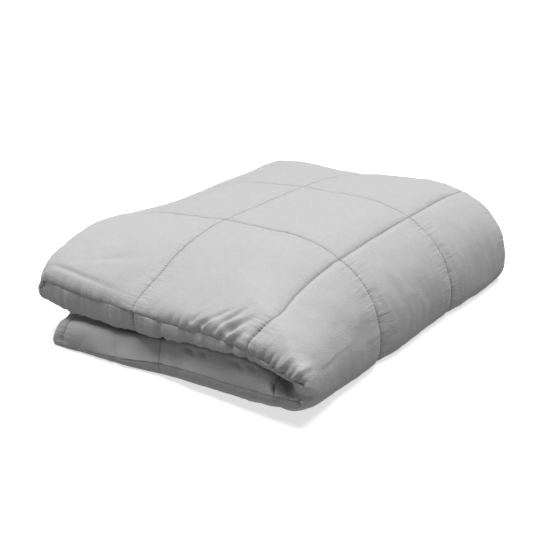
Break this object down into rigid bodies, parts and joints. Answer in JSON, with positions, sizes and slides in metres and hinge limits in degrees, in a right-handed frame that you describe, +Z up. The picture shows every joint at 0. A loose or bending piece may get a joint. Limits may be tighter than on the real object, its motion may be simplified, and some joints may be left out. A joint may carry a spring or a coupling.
{
  "type": "weighted blanket, folded",
  "caption": "Quilted weighted blanket in plain grey cotton, folded in half twice and lying flat, with a round fold on its right side.",
  "frame": {"origin": "middle of the overall box, at the surface that the blanket rests on", "axes": "+Z up; +Y from the front fold to the open back; +X towards the round side fold"},
  "size_m": [0.4828, 0.6274, 0.1648],
  "materials": {
    "cotton": "matt plain-weave cotton, light grey"
  },
  "bodies": {
    "root": {"weighted_blanket": "cotton"}
  },
  "joints": []
}
